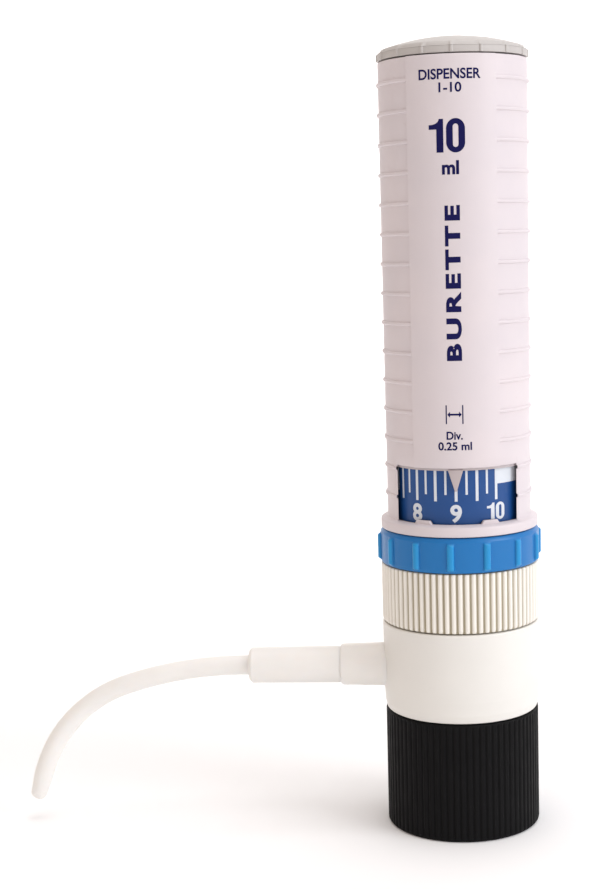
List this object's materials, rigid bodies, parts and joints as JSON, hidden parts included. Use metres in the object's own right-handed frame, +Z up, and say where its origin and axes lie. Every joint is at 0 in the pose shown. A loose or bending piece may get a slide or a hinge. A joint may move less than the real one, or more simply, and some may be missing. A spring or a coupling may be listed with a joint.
{
  "type": "bottle-top dispenser",
  "caption": "Bottle-top liquid dispenser: a housing is lifted and pressed to dispense a volume set on a rotating scale through a curved jet.",
  "frame": {"origin": "centre of the open bottom face of the bottle ring, on the main axis; the part stands on that face", "axes": "+Z up along the main axis, -X along the outlet, -Y towards the scale window"},
  "size_m": [0.153, 0.047, 0.2221],
  "materials": {
    "housing_plastic": "satin moulded plastic, warm white with a pink cast",
    "body_plastic": "satin moulded plastic, ivory white",
    "selector_blue": "satin moulded plastic, mid blue",
    "drum_blue": "glossy plastic, deep blue",
    "black_plastic": "satin moulded plastic, black",
    "jet_plastic": "smooth translucent fluoropolymer, warm white",
    "valve_plastic": "machined white plastic",
    "guard_plastic": "moulded white plastic",
    "fluoroplastic": "waxy white fluoropolymer",
    "rod_plastic": "smooth off-white plastic",
    "elastomer": "matt rubber",
    "barrel_glass": "clear borosilicate glass",
    "ball_glass": "ground glass",
    "spring_steel": "bright spring steel",
    "brass_nut": "turned brass",
    "scale_print": "white printed ink",
    "panel_print": "navy printed ink"
  },
  "bodies": {
    "base": {"base_body": "body_plastic", "neck_flange": "valve_plastic", "bottle_gasket": "elastomer", "valve_block": "valve_plastic", "inlet_stem": "valve_plastic", "inlet_seat": "fluoroplastic", "inlet_cage": "fluoroplastic", "barrel_gasket": "fluoroplastic", "glass_barrel": "barrel_glass", "barrel_guard": "guard_plastic", "rod_guide": "fluoroplastic", "bearing_collar": "guard_plastic", "friction_ring": "elastomer", "retaining_clip": "spring_steel", "outlet_nozzle": "body_plastic", "outlet_seat": "fluoroplastic", "outlet_spring": "spring_steel", "jet_sleeve": "jet_plastic", "jet_tube": "jet_plastic"},
    "bottle_ring": {"bottle_ring": "black_plastic"},
    "lock_ring": {"lock_ring": "body_plastic"},
    "selector": {"selector_ring": "selector_blue", "scale_drum": "drum_blue", "stop_liner": "guard_plastic"},
    "plunger": {"housing": "housing_plastic", "top_cap": "housing_plastic", "carrier": "guard_plastic", "stroke_sleeve": "guard_plastic", "stop_lug": "spring_steel", "piston_rod": "rod_plastic", "piston_head": "fluoroplastic", "piston_seal": "fluoroplastic", "lock_washer": "spring_steel", "adjuster_nut": "brass_nut"},
    "inlet_ball": {"inlet_ball": "ball_glass"},
    "outlet_ball": {"outlet_ball": "ball_glass"}
  },
  "joints": [
    {"name": "stroke", "type": "slide", "parent": "base", "child": "plunger", "axis": [0, 0, 1], "range_m": [0, 0.04476]},
    {"name": "volume_set", "type": "hinge", "parent": "base", "child": "selector", "pos_m": [0, 0, 0.0829], "axis": [0, 0, -1], "range_deg": [-288, 36]},
    {"name": "lock_ring_turn", "type": "hinge", "parent": "base", "child": "lock_ring", "pos_m": [0, 0, 0.0694], "axis": [0, 0, 1], "range_deg": [0, 60]},
    {"name": "bottle_ring_turn", "type": "hinge", "parent": "base", "child": "bottle_ring", "pos_m": [0, 0, 0.017], "axis": [0, 0, 1], "continuous": true},
    {"name": "inlet_ball_lift", "type": "slide", "parent": "base", "child": "inlet_ball", "axis": [0, 0, 1], "range_m": [0, 0.0012]},
    {"name": "outlet_ball_lift", "type": "slide", "parent": "base", "child": "outlet_ball", "axis": [-1, 0, 0], "range_m": [0, 0.0012], "stiffness_N_per_m": 20, "deforming": ["outlet_spring"]}
  ]
}
